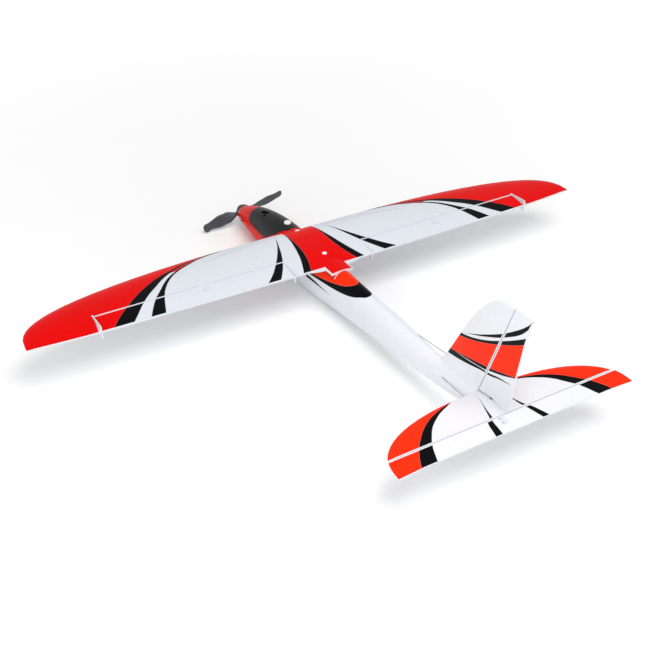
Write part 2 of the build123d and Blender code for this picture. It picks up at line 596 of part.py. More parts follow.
# ---------------------------------------------------------------- motor and propeller
firewall = ring_x(371, 375, 17.5)
firewall -= ring_x(370, 376, 4.5)
stator = ring_x(375, 378.5, 12.5) + ring_x(378.5, 402, 4.0)
teeth = ring_x(383, 399, 12.0) - ring_x(382, 400, 4.0)
for i in range(9):
    slot = Pos(391, 0, 9.6) * Box(20, 1.6, 6.5)
    teeth -= Pos(0, 0, THRUST_Z) * Rot(40 * i, 0, 0) * slot
stator = one((stator + teeth) - ring_x(379, 403, 1.65))
bell = ring_x(380.5, 405.5, 14.0) - ring_x(380, 403, 12.6)
for i in range(6):
    window = Pos(404, 0, 8.4) * Cylinder(2.2, 8, rotation=(0, 90, 0))
    bell -= Pos(0, 0, THRUST_Z) * Rot(60 * i, 0, 0) * window
bell = one(bell + ring_x(379.5, 430, 1.6))
motor_screws = []
for angle in (45, 135, 225, 315):
    y = 8 * math.cos(math.radians(angle))
    z = THRUST_Z + 8 * math.sin(math.radians(angle))
    shank = ring_x(371, 377.5, 1.25, y, z)
    firewall -= shank
    stator -= shank
    motor_screws.append(shank + ring_x(369.2, 371, 2.4, y, z))
pieces["firewall"] = one(firewall)
pieces["motor_stator"] = one(stator)
pieces["motor_bell"] = bell
pieces["motor_screws"] = Compound(children=motor_screws)

PIN_X, PIN_R = BLADE_PIN


def at_prop(shape):
    """Move a piece drawn round the X axis, blade along +Y, to its rest place on the thrust axis."""
    return Pos(0, 0, THRUST_Z) * Rot(PROP_REST, 0, 0) * shape


def blade_shape():
    tab = rod((PIN_X, PIN_R, -2.8), (PIN_X, PIN_R, 2.8), 3.6)
    tab += box_between(PIN_X - 2.6, PIN_X + 3.4, PIN_R, 21, -2.8, 2.8)
    # radius, chord, thickness, sweep of the middle of the chord
    stations = [(18.5, 10.5, 5.2, 0.0), (27, 17.5, 4.0, 0.3), (38, 23.0, 3.1, 0.6), (50, 24.0, 2.6, 0.6),
                (64, 21.5, 2.2, 0.2), (79, 16.5, 1.8, -0.6), (PROP_RADIUS, 9.5, 1.3, -1.6)]
    faces = []
    for radius, chord, thick, offset in stations:
        pitch = math.degrees(math.atan(BLADE_PITCH / (2 * math.pi * radius)))
        plane = Plane(origin=(PIN_X + 0.4, radius, offset), x_dir=(0, 0, 1), z_dir=(0, 1, 0))
        faces.append(plane * Rot(0, 0, pitch) * Ellipse(chord / 2, thick / 2))
    body = tab + loft(faces)
    return one(body - rod((PIN_X, PIN_R, -4), (PIN_X, PIN_R, 4), 1.05))


blade = blade_shape()
pieces["propeller_blade_left"] = at_prop(blade)
pieces["propeller_blade_right"] = at_prop(Rot(180, 0, 0) * blade)

yoke = rod((422, 0, 0), (436, 0, 0), 6.0)
for z0, z1 in ((-5.0, -3.1), (3.1, 5.0)):
    yoke += box_between(423.5, 433.2, -15.2, 15.2, z0, z1)
back_disc = rod((420, 0, 0), (422, 0, 0), 15.8)
yoke += box_between(422, 433.2, -5.2, 5.2, -5.0, 5.0) + back_disc
pins = []
for y in (-PIN_R, PIN_R):
    pin = rod((PIN_X, y, -5.2), (PIN_X, y, 5.2), 1.0)
    yoke -= pin
    pins.append(at_prop(pin))
    side = 1 if y > 0 else -1
    yoke -= box_between(419, 422.5, side * 8.6, side * 18, -5.0, 5.0)
spinner_bolt = rod((431, 0, 0), (442.5, 0, 0), 1.2)
yoke -= spinner_bolt
yoke -= rod((419, 0, 0), (430, 0, 0), 1.6)
pieces["propeller_yoke"] = one(at_prop(yoke))
pieces["blade_pins"] = Compound(children=pins)

profile = [(422.0, 15.8), (428.0, 14.9), (435.0, 12.3), (441.6, 8.0), (445.2, 3.6)]
curve = Spline(*[(x, r, 0) for x, r in profile])
tip_line = Line((445.2, 3.6, 0), (SPINNER_TIP_X, 0.0, 0))
spinner_face = make_face([curve, tip_line, Line((SPINNER_TIP_X, 0, 0), (422, 0, 0)), Line((422, 0, 0), (422, 15.8, 0))])
spinner = revolve(spinner_face, Axis.X)
cavity_face = make_face(Polyline((421, 0, 0), (421, 14.4, 0), (429, 13.8, 0), (436.2, 11.0, 0),
                                 (438.5, 8.0, 0), (438.5, 0, 0), close=True))
spinner -= revolve(cavity_face, Axis.X)
spinner -= box_between(421, 434.6, -20, 20, -5.5, 5.5) - rod((420, 0, 0), (440, 0, 0), 7.2)
spinner -= spinner_bolt + rod((442.5, 0, 0), (450, 0, 0), 2.2)
pieces["spinner"] = one(at_prop(spinner))
spinner_bolt += rod((442.5, 0, 0), (444.4, 0, 0), 2.2)
pieces["spinner_screw"] = at_prop(spinner_bolt)

# ---------------------------------------------------------------- power and radio
TRAY_TOP = 18.0
battery_tray = box_between(230, 346, -16.5, 16.5, TRAY_TOP - 2, TRAY_TOP)
battery_tray &= ellipse_loft(FORMERS[2:9], FOAM_WALL - 1)
battery = box_between(238, 334, -16.5, 16.5, TRAY_TOP, TRAY_TOP + 23)
battery = fillet(battery.edges().filter_by(Axis.X), 3)
strap_x = (286, 304)
strap = box_between(*strap_x, -17.9, 17.9, TRAY_TOP - 3.4, TRAY_TOP + 24.4)
strap -= box_between(280, 310, -16.5, 16.5, TRAY_TOP - 2, TRAY_TOP + 23)
strap += box_between(*strap_x, -9, 12, TRAY_TOP + 24.4, TRAY_TOP + 25.6)
strap = one(strap)
battery_tray -= strap
shell_cuts.append(box_between(230, 346, -16.5, 16.5, TRAY_TOP - 2, TRAY_TOP))
shell_cuts.append(box_between(*strap_x, -17.9, 17.9, TRAY_TOP - 3.4, TRAY_TOP + 24.4))
lead_block = box_between(334, 340, -8, 8, TRAY_TOP + 6, TRAY_TOP + 16)
pieces["battery_tray"] = one(battery_tray)
pieces["battery"] = one(battery + lead_block)
pieces["battery_strap"] = strap

esc = box_between(140, 190, -13, 13, 14, 24)
for i in range(9):
    esc -= box_between(148 + 4 * i, 150 + 4 * i, -11, 11, 22.5, 25)
esc += box_between(134, 140, -8, 8, 16, 22) + box_between(190, 197, -8, 8, 16, 22)
receiver = box_between(126, 166, -11, 11, 27, 40)
for i in range(6):
    receiver -= box_between(125, 130, -9 + 3 * i, -7 + 3 * i, 29, 38)
shelf = box_between(122, 200, -22, 22, 12, 14) & ellipse_loft(FORMERS[4:10], FOAM_WALL - 2)
shell_cuts.append(shelf)
radio_pad = box_between(130, 162, -10, 10, 24, 27)
pieces["electronics_shelf"] = one(shelf)
pieces["speed_controller"] = one(esc)
pieces["receiver_pad"] = radio_pad
pieces["receiver"] = one(receiver)

# ---------------------------------------------------------------- finished shells
bulkhead_seat = pieces["hatch_bulkhead"]
shell_cuts.append(bulkhead_seat)
for side, y0, y1 in (("left", 0, 80), ("right", -80, 0)):
    shell = outer_hull & box_between(-500, 500, y0, y1, -5, 130)
    for cut in shell_cuts:
        shell -= cut
    pieces["fuselage_" + side] = one(shell)
pieces["canopy_hatch"] = one(hatch)

for name, shape in pieces.items():
    export_step(shape, "parts/" + name + ".step")
    print(name, round(shape.volume / 1000, 2), "cm3")
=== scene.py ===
import bpy
import math
from mathutils import Matrix, Vector


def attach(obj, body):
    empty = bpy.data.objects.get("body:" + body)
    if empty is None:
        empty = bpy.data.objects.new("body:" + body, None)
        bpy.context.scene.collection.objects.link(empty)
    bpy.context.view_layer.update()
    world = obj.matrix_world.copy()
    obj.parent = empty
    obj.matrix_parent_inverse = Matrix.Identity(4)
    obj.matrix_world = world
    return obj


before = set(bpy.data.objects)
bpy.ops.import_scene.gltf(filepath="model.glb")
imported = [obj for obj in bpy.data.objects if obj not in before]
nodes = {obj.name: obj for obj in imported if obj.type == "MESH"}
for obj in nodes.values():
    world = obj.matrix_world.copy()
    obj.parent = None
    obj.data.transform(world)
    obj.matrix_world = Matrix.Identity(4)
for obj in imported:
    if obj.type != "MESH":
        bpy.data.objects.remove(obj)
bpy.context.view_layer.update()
scene = bpy.context.scene


# ---------------------------------------------------------------- node graph helpers
class Graph:
    """Short way to write a material's nodes. Coordinates are millimetres in the CAD frame."""

    def __init__(self, name):
        self.material = bpy.data.materials.new(name)
        self.material.use_nodes = True
        self.tree = self.material.node_tree
        self.tree.nodes.clear()
        self.out = self.new("ShaderNodeOutputMaterial")
        self.bsdf = self.new("ShaderNodeBsdfPrincipled")
        self.link(self.bsdf.outputs[0], self.out.inputs[0])
        coords = self.new("ShaderNodeTexCoord")
        self.mm = self.vmath("MULTIPLY", coords.outputs["Object"], (1000, 1000, 1000))
        split = self.new("ShaderNodeSeparateXYZ")
        self.link(self.mm, split.inputs[0])
        self.x, self.y, self.z = split.outputs
        self.ay = self.math("ABSOLUTE", self.y)
        facing = self.new("ShaderNodeSeparateXYZ")
        self.facing = coords.outputs["Normal"]
        self.link(self.facing, facing.inputs[0])
        self.up = facing.outputs[2]
        self.along = facing.outputs[0]

    def spine(self):
        """The nearest point on a line along the middle of the fuselage."""
        node = self.new("ShaderNodeCombineXYZ")
        self.link(self.x, node.inputs[0])
        self.link(self.fit(self.x, 150, 420, 50, 29), node.inputs[2])
        return node.outputs[0]

    def new(self, kind, **fields):
        node = self.tree.nodes.new(kind)
        for key, value in fields.items():
            setattr(node, key, value)
        return node

    def link(self, a, b):
        self.tree.links.new(a, b)

    def put(self, socket, value):
        if isinstance(value, bpy.types.NodeSocket):
            self.link(value, socket)
        else:
            socket.default_value = value

    def math(self, op, a, b=0.0, c=0.0):
        node = self.new("ShaderNodeMath", operation=op)
        for socket, value in zip(node.inputs, (a, b, c)):
            self.put(socket, value)
        return node.outputs[0]

    def vmath(self, op, a, b):
        node = self.new("ShaderNodeVectorMath", operation=op)
        self.put(node.inputs[0], a)
        self.put(node.inputs[1], b)
        return node.outputs[0]

    def mix(self, factor, a, b):
        node = self.new("ShaderNodeMix", data_type="RGBA")
        self.put(node.inputs[0], factor)
        self.put(node.inputs[6], a if isinstance(a, bpy.types.NodeSocket) else (*a, 1))
        self.put(node.inputs[7], b if isinstance(b, bpy.types.NodeSocket) else (*b, 1))
        return node.outputs[2]

    def fit(self, value, a, b, c=0.0, d=1.0):
        node = self.new("ShaderNodeMapRange")
        for socket, number in zip(node.inputs, (value, a, b, c, d)):
            self.put(socket, number)
        return node.outputs[0]

    def noise(self, scale, detail=4.0, rough=0.5, vector=None):
        node = self.new("ShaderNodeTexNoise")
        self.put(node.inputs["Vector"], vector or self.mm)
        node.inputs["Scale"].default_value = scale
        node.inputs["Detail"].default_value = detail
        node.inputs["Roughness"].default_value = rough
        return node.outputs[0]

    def voronoi(self, scale, feature="F1", vector=None):
        node = self.new("ShaderNodeTexVoronoi", feature=feature)
        self.put(node.inputs["Vector"], vector or self.mm)
        node.inputs["Scale"].default_value = scale
        return node

    def profile(self, value, points, straight=True):
        """Line or smooth curve through points (in, out), held level past its ends."""
        xs, ys = [p[0] for p in points], [p[1] for p in points]
        x0, x1, y0, y1 = min(xs), max(xs), min(ys), max(ys)
        node = self.new("ShaderNodeFloatCurve")
        curve = node.mapping.curves[0]
        ordered = sorted(points)
        while len(curve.points) < len(ordered):
            curve.points.new(0.5, 0.5)
        for knot, (px, py) in zip(curve.points, ordered):
            knot.location = ((px - x0) / (x1 - x0), (py - y0) / max(y1 - y0, 1e-6))
            knot.handle_type = "VECTOR" if straight else "AUTO_CLAMPED"
        node.mapping.update()
        self.link(self.fit(value, x0, x1), node.inputs["Value"])
        return self.fit(node.outputs[0], 0.0, 1.0, y0, y1)

    def over(self, value, limit, soft=0.25):
        """1 where value is above limit, with an edge of a quarter millimetre."""
        gap = self.math("SUBTRACT", value, limit)
        return self.fit(gap, -soft, soft)

    def both(self, *masks):
        result = masks[0]
        for mask in masks[1:]:
            result = self.math("MULTIPLY", result, mask)
        return result

    def near(self, value, limit, half):
        """1 within half a width of limit."""
        gap = self.math("ABSOLUTE", self.math("SUBTRACT", value, limit))
        return self.fit(gap, half + 0.15, half - 0.15)

    def between(self, value, low, high):
        return self.math("MULTIPLY", self.over(value, low), self.flip(self.over(value, high)))

    def flip(self, mask):
        return self.math("SUBTRACT", 1.0, mask)

    def any(self, *masks):
        result = masks[0]
        for mask in masks[1:]:
            result = self.math("MAXIMUM", result, mask)
        return result

    def bump(self, height, strength, distance, normal=None):
        node = self.new("ShaderNodeBump")
        node.inputs["Strength"].default_value = strength
        node.inputs["Distance"].default_value = distance
        self.put(node.inputs["Height"], height)
        if normal:
            self.link(normal, node.inputs["Normal"])
        return node.outputs[0]

    def finish(self, color, roughness, normal=None, metallic=0.0, coat=0.0, specular=0.4):
        bsdf = self.bsdf
        self.put(bsdf.inputs["Base Color"], color if isinstance(color, bpy.types.NodeSocket) else (*color, 1))
        self.put(bsdf.inputs["Roughness"], roughness)
        bsdf.inputs["Metallic"].default_value = metallic
        bsdf.inputs["Specular IOR Level"].default_value = specular
        bsdf.inputs["Coat Weight"].default_value = coat
        bsdf.inputs["Coat Roughness"].default_value = 0.25
        if normal:
            self.link(normal, bsdf.inputs["Normal"])
        return self.material


def srgb(r, g, b):
    """Display colour 0..255 to the linear colour that shaders take."""
    return tuple(((c / 255 + 0.055) / 1.055) ** 2.4 if c > 10 else c / 255 / 12.92 for c in (r, g, b))


WHITE = srgb(217, 221, 228)
RED = srgb(222, 0, 0)
FLAME = srgb(246, 46, 10)
NOSE_RED = srgb(214, 20, 8)
BLACK = srgb(5, 5, 8)
# The tail and the fuselage are the same white foam as the wing. Their lighter copies of that white are
# painted light, for the stronger light that falls on them.
LIT_TAIL_WHITE = srgb(229, 231, 236)
LIT_HULL_WHITE = srgb(226, 228, 234)


def foam_finish(g, color, film):
    """Bead foam: closed cells of a few millimetres, faint dents; printed film lies flatter and glossier."""
    cells = g.voronoi(0.30, "DISTANCE_TO_EDGE")
    edge = g.fit(cells.outputs["Distance"], 0.0, 0.10)
    tone = g.voronoi(0.30).outputs["Color"]
    value = g.new("ShaderNodeSeparateColor")
    g.link(tone, value.inputs[0])
    cloud = g.noise(0.012, 3.0)
    fine = g.noise(1.6, 2.0)
    bare = g.flip(film)
    shade = g.math("ADD", g.fit(value.outputs[0], 0, 1, 0.975, 1.0), g.fit(cloud, 0.3, 0.7, -0.02, 0.0))
    shade = g.mix(film, g.vmath("MULTIPLY", (1, 1, 1), shade), (1, 1, 1))
    # Bare foam is painted up to 5 % darker along the bead edges: painted shade in the grooves between the
    # beads.
    groove_shade = g.fit(g.math("MULTIPLY", g.flip(edge), bare), 0, 1, 1.0, 0.95)
    tint = g.new("ShaderNodeMix", data_type="RGBA", blend_type="MULTIPLY")
    tint.inputs[0].default_value = 1.0
    g.put(tint.inputs[6], color)
    g.put(tint.inputs[7], shade)
    groove_shaded_color = g.new("ShaderNodeMix", data_type="RGBA", blend_type="MULTIPLY")
    groove_shaded_color.inputs[0].default_value = 1.0
    g.put(groove_shaded_color.inputs[6], tint.outputs[2])
    g.put(groove_shaded_color.inputs[7], g.vmath("MULTIPLY", (1, 1, 1), groove_shade))
    relief = g.math("MULTIPLY", edge, g.fit(film, 0, 1, 1.0, 0.35))
    height = g.math("ADD", relief, g.math("MULTIPLY", fine, 0.35))
    normal = g.bump(height, 0.22, 0.0002)
    normal = g.bump(g.noise(0.035, 2.0), 0.35, 0.0012, normal)
    rough = g.math("ADD", g.fit(film, 0, 1, 0.46, 0.33), g.fit(fine, 0.2, 0.8, -0.04, 0.05))
    return g.finish(groove_shaded_color.outputs[2], rough, normal, specular=0.07)


# ---------------------------------------------------------------- printed foam surfaces
def wing_material():
    g = Graph("wing_print")
    x, ay = g.x, g.ay
    s1_out = g.profile(x, [(62, 414.6), (87, 393), (105, 374), (126.5, 350), (152, 314.5), (166, 290),
                           (176, 267), (188, 243), (196, 216), (206, 150)], False)
    s1_in = g.profile(x, [(62, 380.5), (80, 365), (103, 346), (117, 333), (137, 310), (158, 285),
                          (174, 259), (182, 243), (190, 226), (206, 150)], False)
    s2_out = g.profile(x, [(62, 350), (105, 323.5), (122, 309), (143, 291), (157, 276), (174, 249.5),
                           (186, 226), (196, 200), (206, 150)], False)
    s2_in = g.profile(x, [(62, 323), (105, 307), (123, 298), (146, 280.5), (160, 265), (181.5, 227),
                          (192, 203), (202, 159), (206, 147)], False)
    s3_out = g.profile(x, [(62, 138), (85.5, 114), (103, 100), (129, 82), (155, 67.5), (176, 58),
                           (191, 52)], False)
    s3_in = g.profile(x, [(62, 111.5), (81.5, 97.4), (103, 84.5), (131, 72), (160, 62), (178, 56),
                          (191, 51.8)], False)
    mid_out = g.profile(x, [(60, 66), (84, 55.5), (112, 46.2), (144, 39), (175, 33.6), (203, 31)], False)
    mid_in = g.profile(x, [(60, 50.5), (87.5, 40.2), (110.6, 34.6), (138, 31.5), (166, 31),
                           (203, 30.6)], False)
    tip_red = g.over(ay, s1_out)
    sliver = g.both(g.over(ay, s2_out), g.flip(g.over(ay, s1_in)), g.over(x, 168))
    centre_red = g.flip(g.over(ay, mid_in))
    red = g.any(tip_red, centre_red, sliver)
    black = g.any(
        g.between(ay, s1_in, s1_out),
        g.between(ay, s2_in, s2_out),
        g.between(ay, s3_in, s3_out),
        g.between(ay, mid_in, mid_out),
    )
    # the film stops at the edges, at the hinge grooves and short of the tongue's rim
    top = g.fit(g.up, 0.02, 0.10)
    hinge = g.both(g.near(x, g.fit(ay, 81, 430.5, 109.3, 105.3), 1.5), g.between(ay, 79, 433))
    rim = g.any(g.flip(g.over(x, 41)), g.both(g.flip(g.over(x, 67.5)), g.over(ay, 19.8)))
    keep = g.both(top, g.flip(hinge), g.flip(rim))
    red, black = g.both(red, keep), g.both(black, keep)
    nose_x = g.profile(ay, [(30, 198), (60, 195.5), (90, 192), (120, 188), (160, 181), (205, 171)], False)
    seam = g.both(g.near(x, nose_x, 0.35), g.between(ay, 46, 205), top, g.flip(black))
    color = g.mix(black, g.mix(red, WHITE, RED), BLACK)
    color = g.mix(g.math("MULTIPLY", seam, 0.75), color, srgb(84, 86, 92))
    return foam_finish(g, color, g.any(red, black))


def stab_material():
    g = Graph("tail_print")
    x, ay, y = g.x, g.ay, g.y
    band_out = g.profile(x, [(-446, 173), (-439.6, 171), (-408, 152), (-395, 140.5), (-383, 128), (-372, 113),
                             (-365, 101), (-356, 79), (-350, 57)], False)
    band_in = g.profile(x, [(-446, 147), (-440, 145), (-414, 134), (-396, 122), (-384, 112), (-370, 94),
                            (-361, 79), (-355, 65), (-350, 55)], False)
    left_out = g.profile(x, [(-446, 47), (-443, 46), (-414, 38), (-408, 30), (-392, 24),
                             (-369, 16.5), (-350, 12)], False)
    left_in = g.profile(x, [(-446, 35), (-443, 34), (-414, 29.5), (-408, 25), (-392, 21.5),
                            (-369, 16), (-350, 12)], False)
    right_out = g.profile(x, [(-446, 52), (-443, 51), (-414, 39.5), (-408, 35.5), (-390, 29),
                              (-372, 21)], False)
    right_in = g.profile(x, [(-446, 41), (-443, 40), (-414, 32), (-408, 30), (-390, 27), (-372, 20)], False)
    tip_red = g.over(ay, band_out)
    black = g.any(
        g.between(ay, band_in, band_out),
        g.between(y, left_in, left_out),
        g.between(g.math("MULTIPLY", y, -1.0), right_in, right_out),
    )
    top = g.fit(g.up, 0.02, 0.10)
    keep = g.both(top, g.flip(g.near(x, -411.6, 2.6)))
    red, black = g.both(tip_red, keep), g.both(black, keep)
    color = g.mix(black, g.mix(red, LIT_TAIL_WHITE, FLAME), BLACK)
    return foam_finish(g, color, g.any(red, black))


def fin_material():
    g = Graph("fin_print")
    x, z = g.x, g.z
    top_hi = g.profile(x, [(-440, 265.6), (-426.6, 248), (-405.3, 228.3), (-387.3, 214), (-379.7, 208.5),
                           (-346, 187.5), (-314, 169.8), (-306, 165)], False)
    top_lo = g.profile(x, [(-440, 261), (-431.7, 247), (-417.7, 229.6), (-388, 207.4), (-379.6, 201.9),
                           (-347, 184.6), (-315, 169.6), (-306, 165)], False)
    mid_hi = g.profile(x, [(-440, 239), (-433.6, 233.8), (-413.4, 218.5), (-388, 201.6), (-379.7, 196.8),
                           (-360.3, 185.4), (-328, 170.6), (-297.5, 159.6), (-288, 156.5)], False)
    mid_lo = g.profile(x, [(-440, 226.5), (-432.2, 221.6), (-409.2, 206.6), (-385.5, 193.4), (-376.5, 188.3),
                           (-361, 180.3), (-328.7, 166.3), (-294.7, 153.6), (-286, 150.6)], False)
    low_hi = g.profile(x, [(-440, 164), (-423.5, 158.6), (-393, 148.7), (-368.7, 141.2), (-354, 137.6),
                           (-312.8, 128.3), (-277, 118.6), (-264, 115)], False)
    low_lo = g.profile(x, [(-440, 162.5), (-423, 157), (-393.8, 144.9), (-365.6, 135.6), (-352.5, 131.5),
                           (-320, 126.4), (-291.6, 121.6), (-276, 115.5), (-264, 113)], False)
    tail_hi = g.profile(x, [(-412, 140), (-388, 137), (-365, 131.6), (-352, 130), (-320, 125.4),
                            (-291.6, 121.6), (-276, 116.5), (-264, 113.2)], False)
    tail_lo = g.profile(x, [(-412, 139.4), (-388, 134.4), (-365, 127.8), (-354, 126.6), (-328, 120.6),
                            (-300, 114.6), (-272, 108), (-258, 104)], False)
    black = g.any(
        g.between(z, top_lo, top_hi),
        g.between(z, mid_lo, mid_hi),
        g.between(z, low_lo, low_hi),
        g.both(g.between(z, tail_lo, tail_hi), g.over(x, -411)),
    )
    red = g.between(z, low_hi, mid_lo)
    hinge_x = g.fit(z, 86.6, 262, -347.6, -401.9)
    edge_x = g.profile(z, [(98, -416), (154, -418.7), (181, -422.4), (219, -427), (236, -430), (247, -431.5),
                           (256, -434.5), (264, -439)])
    side = g.fit(g.math("ABSOLUTE", g.along), 0.9, 0.8)
    keep = g.both(side, g.flip(g.near(x, hinge_x, 2.5)), g.over(x, g.math("ADD", edge_x, 0.5)))
    red, black = g.both(red, keep), g.both(black, keep)
    color = g.mix(black, g.mix(red, LIT_TAIL_WHITE, FLAME), BLACK)
    return foam_finish(g, color, g.any(red, black))


# The teardrop sits this far left of the centre line (mm), while the hull itself is symmetric.
TEARDROP_SHIFT = 2.5


def hull_material():
    g = Graph("hull_print")
    x, z = g.x, g.z
    # behind the wing a teardrop, its border an angle from the ridge (degrees about a line at half height)
    off_centre = g.math("ABSOLUTE", g.math("SUBTRACT", g.y, TEARDROP_SHIFT))
    lean = g.math("MULTIPLY", g.math("ARCTAN2", off_centre, g.math("SUBTRACT", z, 50.0)), 57.2958)
    tear_edge = g.profile(x, [(-52, -6), (-51, 3), (-49.6, 7.6), (-45.5, 12.4), (-39, 17.6), (-22, 31),
                              (4.6, 46), (30, 57), (58, 66), (97, 75.6), (130, 83)], False)
    red_edge = g.profile(x, [(-10.4, -6), (-9.4, 2.5), (-7, 7.6), (-3, 12.6), (2.7, 18.2), (12.8, 25.6),
                             (33, 37), (61, 51.7), (91.6, 64.2), (130, 75)], False)
    tear = g.flip(g.over(lean, tear_edge, 0.5))
    tear_red = g.flip(g.over(lean, red_edge, 0.5))
    wedge_hi = g.profile(x, [(40, 45.4), (57, 47), (76, 48.6), (89, 49.8), (103, 50.6), (118, 51)], False)
    wedge_lo = g.profile(x, [(40, 45.2), (57, 45.8), (83, 45.4), (103, 45.2), (118, 45)], False)
    wedge = g.both(g.between(z, wedge_lo, wedge_hi), g.between(x, 41, 118))
    nose = g.over(x, g.profile(z, [(0, 236), (20, 226), (45, 208), (70, 196), (92, 190)], False))
    behind = g.flip(g.over(x, 128))
    red = g.any(nose, g.both(tear_red, behind))
    black = g.both(g.any(g.both(tear, g.flip(tear_red)), wedge), behind, g.flip(nose))
    away = g.new("ShaderNodeVectorMath", operation="DOT_PRODUCT")
    g.link(g.facing, away.inputs[0])
    g.link(g.vmath("SUBTRACT", g.mm, g.spine()), away.inputs[1])
    outside = g.over(away.outputs["Value"], 0.0, 0.5)
    red, black = g.both(red, outside), g.both(black, outside)
    shade = g.mix(g.over(x, 150), FLAME, NOSE_RED)
    color = g.mix(black, g.mix(red, LIT_HULL_WHITE, shade), BLACK)
    seam = g.both(g.near(g.y, 0.0, 0.22), g.flip(g.any(red, black)))
    color = g.mix(g.math("MULTIPLY", seam, 0.35), color, srgb(120, 122, 128))
    return foam_finish(g, color, g.any(red, black))


def plain_foam(name, color):
    g = Graph(name)
    film = g.fit(g.noise(0.02), 0.0, 1.0, 0.0, 0.0)
    return foam_finish(g, g.mix(film, color, color), film)


def hatch_material():
    g = Graph("hatch_paint")
    fine = g.noise(1.2, 3.0)
    cells = g.fit(g.voronoi(0.30, "DISTANCE_TO_EDGE").outputs["Distance"], 0.0, 0.12)
    scuff = g.fit(g.noise(0.09, 6.0, 0.65), 0.56, 0.72)
    color = g.mix(g.math("MULTIPLY", scuff, 0.35), srgb(15, 15, 18), srgb(34, 33, 38))
    normal = g.bump(g.math("ADD", cells, fine), 0.16, 0.0002)
    rough = g.fit(fine, 0.2, 0.8, 0.34, 0.46)
    return g.finish(color, rough, normal, specular=0.28)


def plastic(name, color, rough=0.42, grain=2.2):
    g = Graph(name)
    fine = g.noise(grain, 3.0)
    cloud = g.noise(0.05, 4.0)
    shade = tuple(min(c * 1.35 + 0.004, 1) for c in color)
    tone = g.mix(g.fit(cloud, 0.35, 0.7, 0.0, 0.6), color, shade)
    return g.finish(tone, g.fit(fine, 0.25, 0.75, rough - 0.06, rough + 0.1), g.bump(fine, 0.12, 0.0001))


def metal(name, color, rough=0.28, stretch=(0.15, 4.0, 4.0)):
    g = Graph(name)
    streak = g.noise(1.0, 5.0, 0.6, g.vmath("MULTIPLY", g.mm, stretch))
    stain = g.noise(0.12, 4.0)
    dark = tuple(c * 0.72 for c in color)
    tone = g.mix(g.fit(stain, 0.4, 0.75), color, dark)
    spread = g.fit(streak, 0.2, 0.8, rough - 0.08, rough + 0.14)
    return g.finish(tone, spread, g.bump(streak, 0.1, 0.00005), 1.0)


def ply():
    g = Graph("ply_sheet")
    grain = g.noise(1.0, 6.0, 0.6, g.vmath("MULTIPLY", g.mm, (0.04, 0.9, 1.8)))
    color = g.mix(g.fit(grain, 0.3, 0.7), srgb(208, 172, 122), srgb(166, 124, 78))
    return g.finish(color, g.fit(grain, 0.3, 0.7, 0.55, 0.72), g.bump(grain, 0.2, 0.0002))


def woven(name, color):
    g = Graph(name)
    wave = g.new("ShaderNodeTexWave", bands_direction="X")
    g.link(g.mm, wave.inputs["Vector"])
    wave.inputs["Scale"].default_value = 0.55
    wave.inputs["Distortion"].default_value = 0.6
    fuzz = g.noise(3.0, 4.0)
    height = g.math("ADD", wave.outputs[1], fuzz)
    tone = g.mix(fuzz, color, tuple(c * 1.8 + 0.01 for c in color))
    return g.finish(tone, 0.85, g.bump(height, 0.5, 0.0003))


def carbon():
    g = Graph("carbon_tube")
    strands = g.noise(1.0, 4.0, 0.6, g.vmath("MULTIPLY", g.mm, (3.0, 0.05, 3.0)))
    color = g.mix(strands, srgb(16, 16, 17), srgb(48, 48, 50))
    return g.finish(color, g.fit(strands, 0.3, 0.7, 0.25, 0.42), g.bump(strands, 0.15, 0.00005), 0.0, 0.3)


MATS = {
    "wing": wing_material(),
    "tail": stab_material(),
    "fin": fin_material(),
    "hull": hull_material(),
    "hatch": hatch_material(),
    "foam": plain_foam("bare_foam", WHITE),
    "black": plastic("black_nylon", srgb(30, 30, 33)),
    "prop": plastic("prop_nylon", srgb(62, 66, 73), 0.36),
    "white": plastic("white_nylon", srgb(228, 228, 224), 0.35),
    "case": plastic("servo_case", srgb(34, 42, 60), 0.25),
    "wrap": plastic("battery_wrap", srgb(30, 50, 96), 0.4),
    "sleeve": plastic("controller_sleeve", srgb(28, 28, 30), 0.3),
    "pad": plastic("pad_foam", srgb(70, 70, 72), 0.8, 4.0),
    "steel": metal("steel_wire", (0.56, 0.56, 0.57)),
    "zinc": metal("zinc_screw", (0.5, 0.49, 0.46), 0.34, (1, 1, 1)),
    "can": metal("motor_can", (0.42, 0.43, 0.46), 0.3),
    "magnet": metal("magnet_plate", (0.72, 0.7, 0.66), 0.18, (1, 1, 1)),
    "copper": metal("motor_core", (0.64, 0.32, 0.14), 0.4, (2, 2, 2)),
    "ply": ply(),
    "strap": woven("strap_web", srgb(24, 24, 26)),
    "carbon": carbon(),
}

